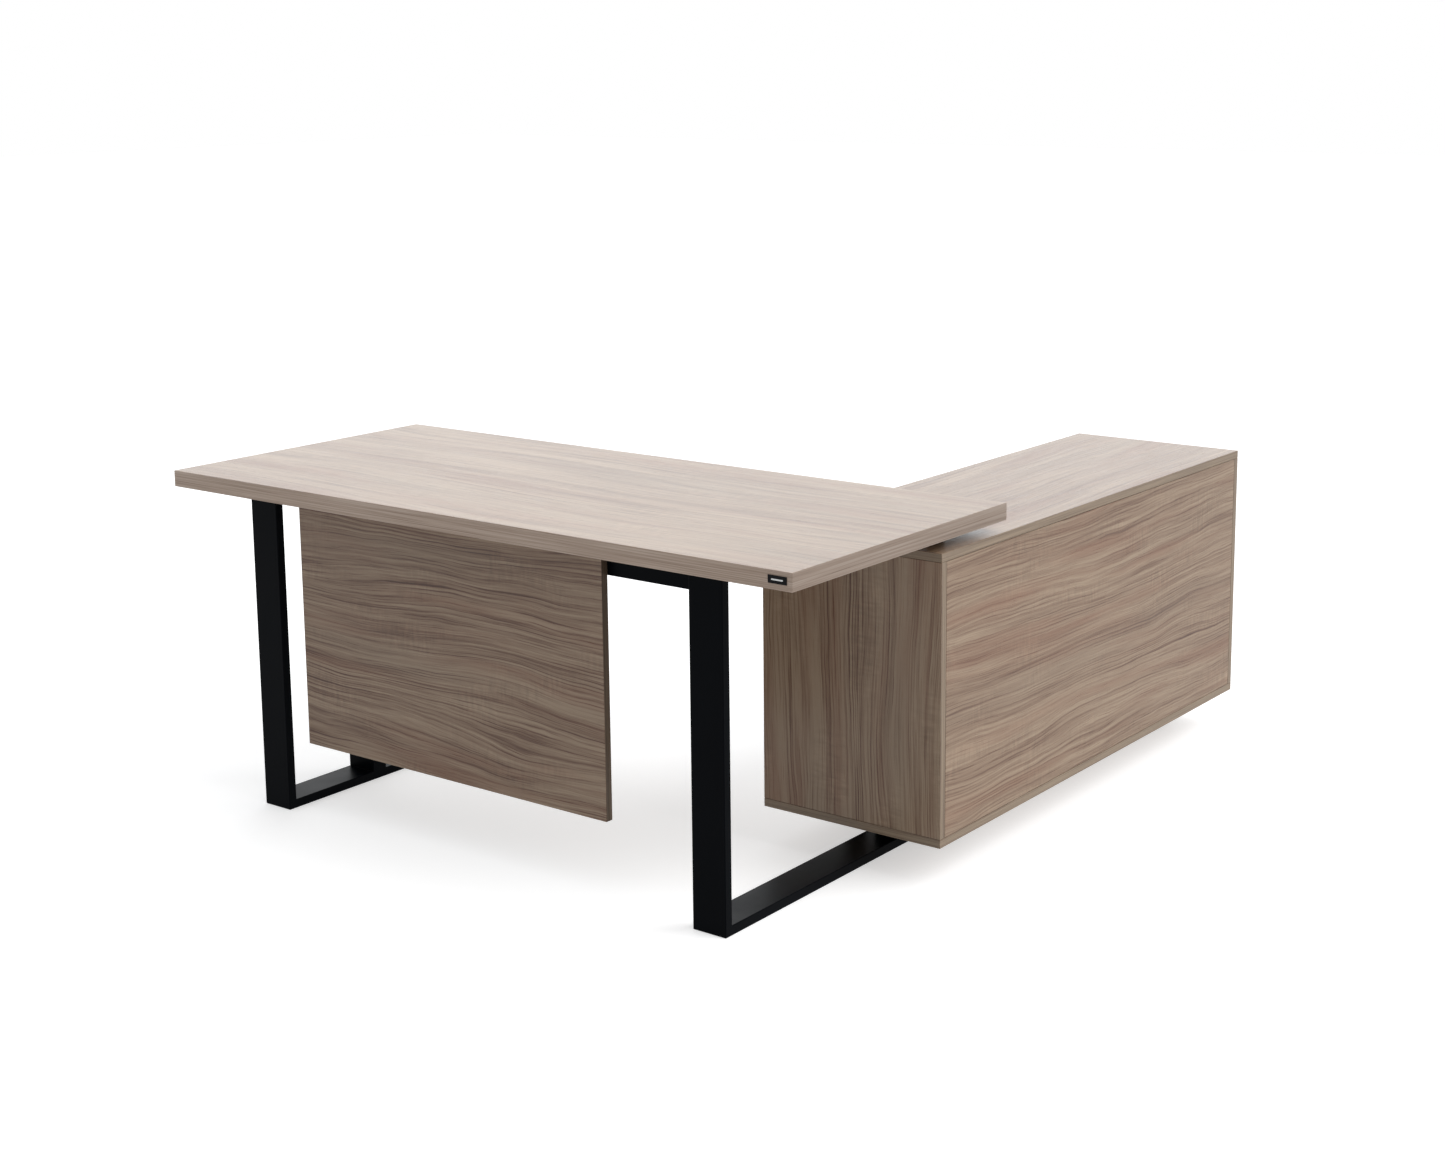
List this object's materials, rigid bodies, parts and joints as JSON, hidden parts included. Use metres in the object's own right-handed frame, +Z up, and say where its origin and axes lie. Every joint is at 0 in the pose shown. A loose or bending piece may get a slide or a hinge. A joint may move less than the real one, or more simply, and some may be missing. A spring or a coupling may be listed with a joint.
{
  "type": "corner desk",
  "caption": "L-shaped office desk: thick worktop on flat-tube steel frames, modesty panel, and a long low cabinet with drawers, open shelf and door under one end.",
  "frame": {"origin": "on the floor, under the middle of the whole desk's box", "axes": "+Z up, -Y towards the visitors' side of the worktop, cabinet at the +X end and running towards +Y"},
  "size_m": [1.7, 1.8612, 0.75],
  "materials": {
    "wood_melamine": "wood-grain melamine, satin",
    "black_steel": "black powder coat, satin",
    "zinc_steel": "bright zinc plate",
    "drawer_board": "light grey coated board, matt",
    "black_plastic": "black moulded plastic"
  },
  "bodies": {
    "desk": {"badge_plate": "black_plastic", "beam_end_plate_left": "black_steel", "beam_end_plate_right": "black_steel", "cabinet_back": "wood_melamine", "cabinet_bottom": "wood_melamine", "cabinet_divider_far": "wood_melamine", "cabinet_divider_near": "wood_melamine", "cabinet_end_far": "wood_melamine", "cabinet_end_near": "wood_melamine", "cabinet_foot_far_inner": "black_plastic", "cabinet_foot_far_outer": "black_plastic", "cabinet_foot_near_inner": "black_plastic", "cabinet_foot_near_outer": "black_plastic", "cabinet_top": "wood_melamine", "door_bay_shelf": "wood_melamine", "door_hinge_lower_fixed": "zinc_steel", "door_hinge_upper_fixed": "zinc_steel", "drawer_bottom_left_runner_channel": "zinc_steel", "drawer_bottom_right_runner_channel": "zinc_steel", "drawer_middle_left_runner_channel": "zinc_steel", "drawer_middle_right_runner_channel": "zinc_steel", "drawer_top_left_runner_channel": "zinc_steel", "drawer_top_right_runner_channel": "zinc_steel", "front_beam": "black_steel", "left_leg_frame": "black_steel", "modesty_bracket_1": "black_steel", "modesty_bracket_2": "black_steel", "modesty_bracket_3": "black_steel", "modesty_panel": "wood_melamine", "open_bay_shelf": "wood_melamine", "right_leg_frame": "black_steel", "shelf_pin_far_front": "zinc_steel", "shelf_pin_far_rear": "zinc_steel", "shelf_pin_near_front": "zinc_steel", "shelf_pin_near_rear": "zinc_steel", "worktop": "wood_melamine", "worktop_spacer_1": "black_plastic", "worktop_spacer_2": "black_plastic", "worktop_spacer_3": "black_plastic", "worktop_spacer_4": "black_plastic"},
    "door": {"door": "wood_melamine", "door_handle": "black_steel", "door_hinge_lower_leaf": "zinc_steel", "door_hinge_upper_leaf": "zinc_steel"},
    "drawer_bottom": {"drawer_bottom_box": "drawer_board", "drawer_bottom_front": "wood_melamine", "drawer_bottom_handle": "black_steel", "drawer_bottom_left_runner_bar": "zinc_steel", "drawer_bottom_right_runner_bar": "zinc_steel"},
    "drawer_middle": {"drawer_middle_box": "drawer_board", "drawer_middle_front": "wood_melamine", "drawer_middle_handle": "black_steel", "drawer_middle_left_runner_bar": "zinc_steel", "drawer_middle_right_runner_bar": "zinc_steel"},
    "drawer_top": {"drawer_top_box": "drawer_board", "drawer_top_front": "wood_melamine", "drawer_top_handle": "black_steel", "drawer_top_left_runner_bar": "zinc_steel", "drawer_top_right_runner_bar": "zinc_steel"}
  },
  "joints": [
    {"name": "drawer_bottom_slide", "type": "slide", "parent": "desk", "child": "drawer_bottom", "axis": [-1, 0, 0], "range_m": [0, 0.3]},
    {"name": "drawer_middle_slide", "type": "slide", "parent": "desk", "child": "drawer_middle", "axis": [-1, 0, 0], "range_m": [0, 0.3]},
    {"name": "drawer_top_slide", "type": "slide", "parent": "desk", "child": "drawer_top", "axis": [-1, 0, 0], "range_m": [0, 0.3]},
    {"name": "door_hinge", "type": "hinge", "parent": "desk", "child": "door", "pos_m": [0.408, 0.91115, 0.387], "axis": [0, 0, -1], "range_deg": [0, 110]}
  ]
}
